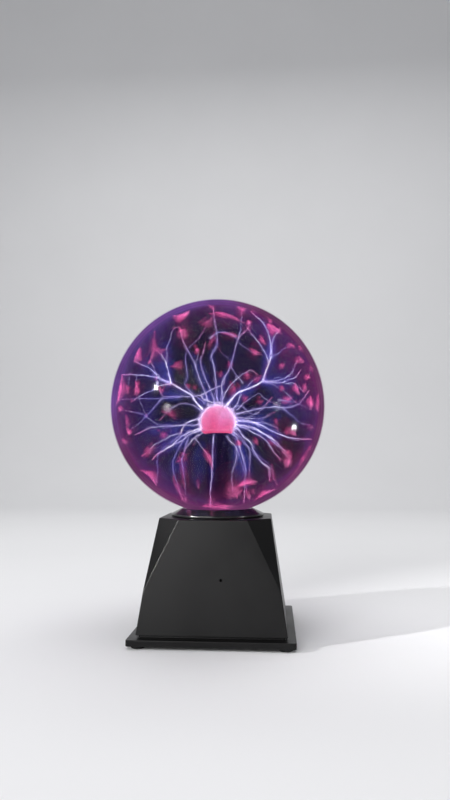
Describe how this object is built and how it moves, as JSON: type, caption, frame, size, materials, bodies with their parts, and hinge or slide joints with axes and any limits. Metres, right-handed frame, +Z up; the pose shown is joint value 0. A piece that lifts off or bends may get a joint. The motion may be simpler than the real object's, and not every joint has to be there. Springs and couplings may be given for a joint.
{
  "type": "plasma ball",
  "caption": "Plasma ball: a sealed glass globe with a central glowing electrode on a tapered four-sided pedestal with cut corners, with a rear rocker switch and power inlet.",
  "frame": {"origin": "centre of the footprint, on the surface that the rubber feet stand on", "axes": "+Z up through the globe's centre; the front face with the microphone pinhole faces -Y; the rocker switch and the power inlet are on the +Y side; +X is to the right seen from the front"},
  "size_m": [0.2032, 0.2032, 0.3106],
  "materials": {
    "clear_glass": "clear glass over a violet gas glow",
    "stem_glass": "dark glass tube",
    "electrode_glass": "glass lit from inside",
    "steel_wool": "loose steel wool",
    "satin_black": "satin moulded plastic, fine texture",
    "gloss_black": "polished moulded plastic",
    "black_rubber": "matt",
    "grey_foam": "soft foam rubber",
    "screw_steel": "bright zinc plating",
    "board_laminate": "phenolic laminate",
    "ferrite": "sintered ferrite",
    "potting_resin": "cast epoxy",
    "enamelled_copper": "enamelled copper wire",
    "mill_aluminium": "extruded, plain",
    "bright_nickel": "bright nickel plating",
    "blue_sleeve": "shrink sleeve",
    "yellow_film": "moulded case",
    "beige_ceramic": "matt coated",
    "red_insulation": "insulated wire",
    "black_insulation": "insulated wire",
    "blue_insulation": "insulated wire",
    "white_plastic": "nylon and insulated wire"
  },
  "bodies": {
    "lamp": {"globe_glass": "clear_glass", "glass_stem": "stem_glass", "exhaust_pip": "stem_glass", "electrode_bulb": "electrode_glass", "electrode_fill": "steel_wool", "top_collar": "gloss_black", "neck_gasket": "grey_foam", "neck_clamp_ring": "satin_black", "pedestal_shell": "satin_black", "base_plate": "satin_black", "driver_board": "board_laminate", "flyback_core": "ferrite", "flyback_coil": "potting_resin", "drive_winding": "enamelled_copper", "high_voltage_lead": "red_insulation", "heatsink": "mill_aluminium", "switching_transistor": "potting_resin", "smoothing_capacitor": "blue_sleeve", "tuning_capacitor": "yellow_film", "timer_chip": "potting_resin", "power_resistor_1": "beige_ceramic", "power_resistor_2": "beige_ceramic", "wire_header": "white_plastic", "microphone": "bright_nickel", "microphone_wire": "black_insulation", "switch_housing": "gloss_black", "inlet_socket": "gloss_black", "inlet_pin": "bright_nickel", "inlet_nut": "bright_nickel", "inlet_tab_1": "bright_nickel", "inlet_tab_2": "bright_nickel", "inlet_wire_black": "black_insulation", "inlet_wire_red": "red_insulation", "switch_wire_blue": "blue_insulation", "switch_wire_white": "white_plastic", "rubber_foot_1": "black_rubber", "base_screw_1": "screw_steel", "board_screw_1": "screw_steel", "rubber_foot_2": "black_rubber", "base_screw_2": "screw_steel", "board_screw_2": "screw_steel", "rubber_foot_3": "black_rubber", "base_screw_3": "screw_steel", "board_screw_3": "screw_steel", "rubber_foot_4": "black_rubber", "base_screw_4": "screw_steel", "board_screw_4": "screw_steel", "clamp_screw_1": "screw_steel", "switch_terminal_1": "bright_nickel", "clamp_screw_2": "screw_steel", "switch_terminal_2": "bright_nickel", "clamp_screw_3": "screw_steel", "switch_terminal_3": "bright_nickel"},
    "rocker": {"switch_rocker": "gloss_black"}
  },
  "joints": [
    {"name": "switch_rock", "type": "hinge", "parent": "lamp", "child": "rocker", "pos_m": [0.018, 0.06087, 0.032], "axis": [-1, 0, 0], "range_deg": [0, 24]}
  ]
}
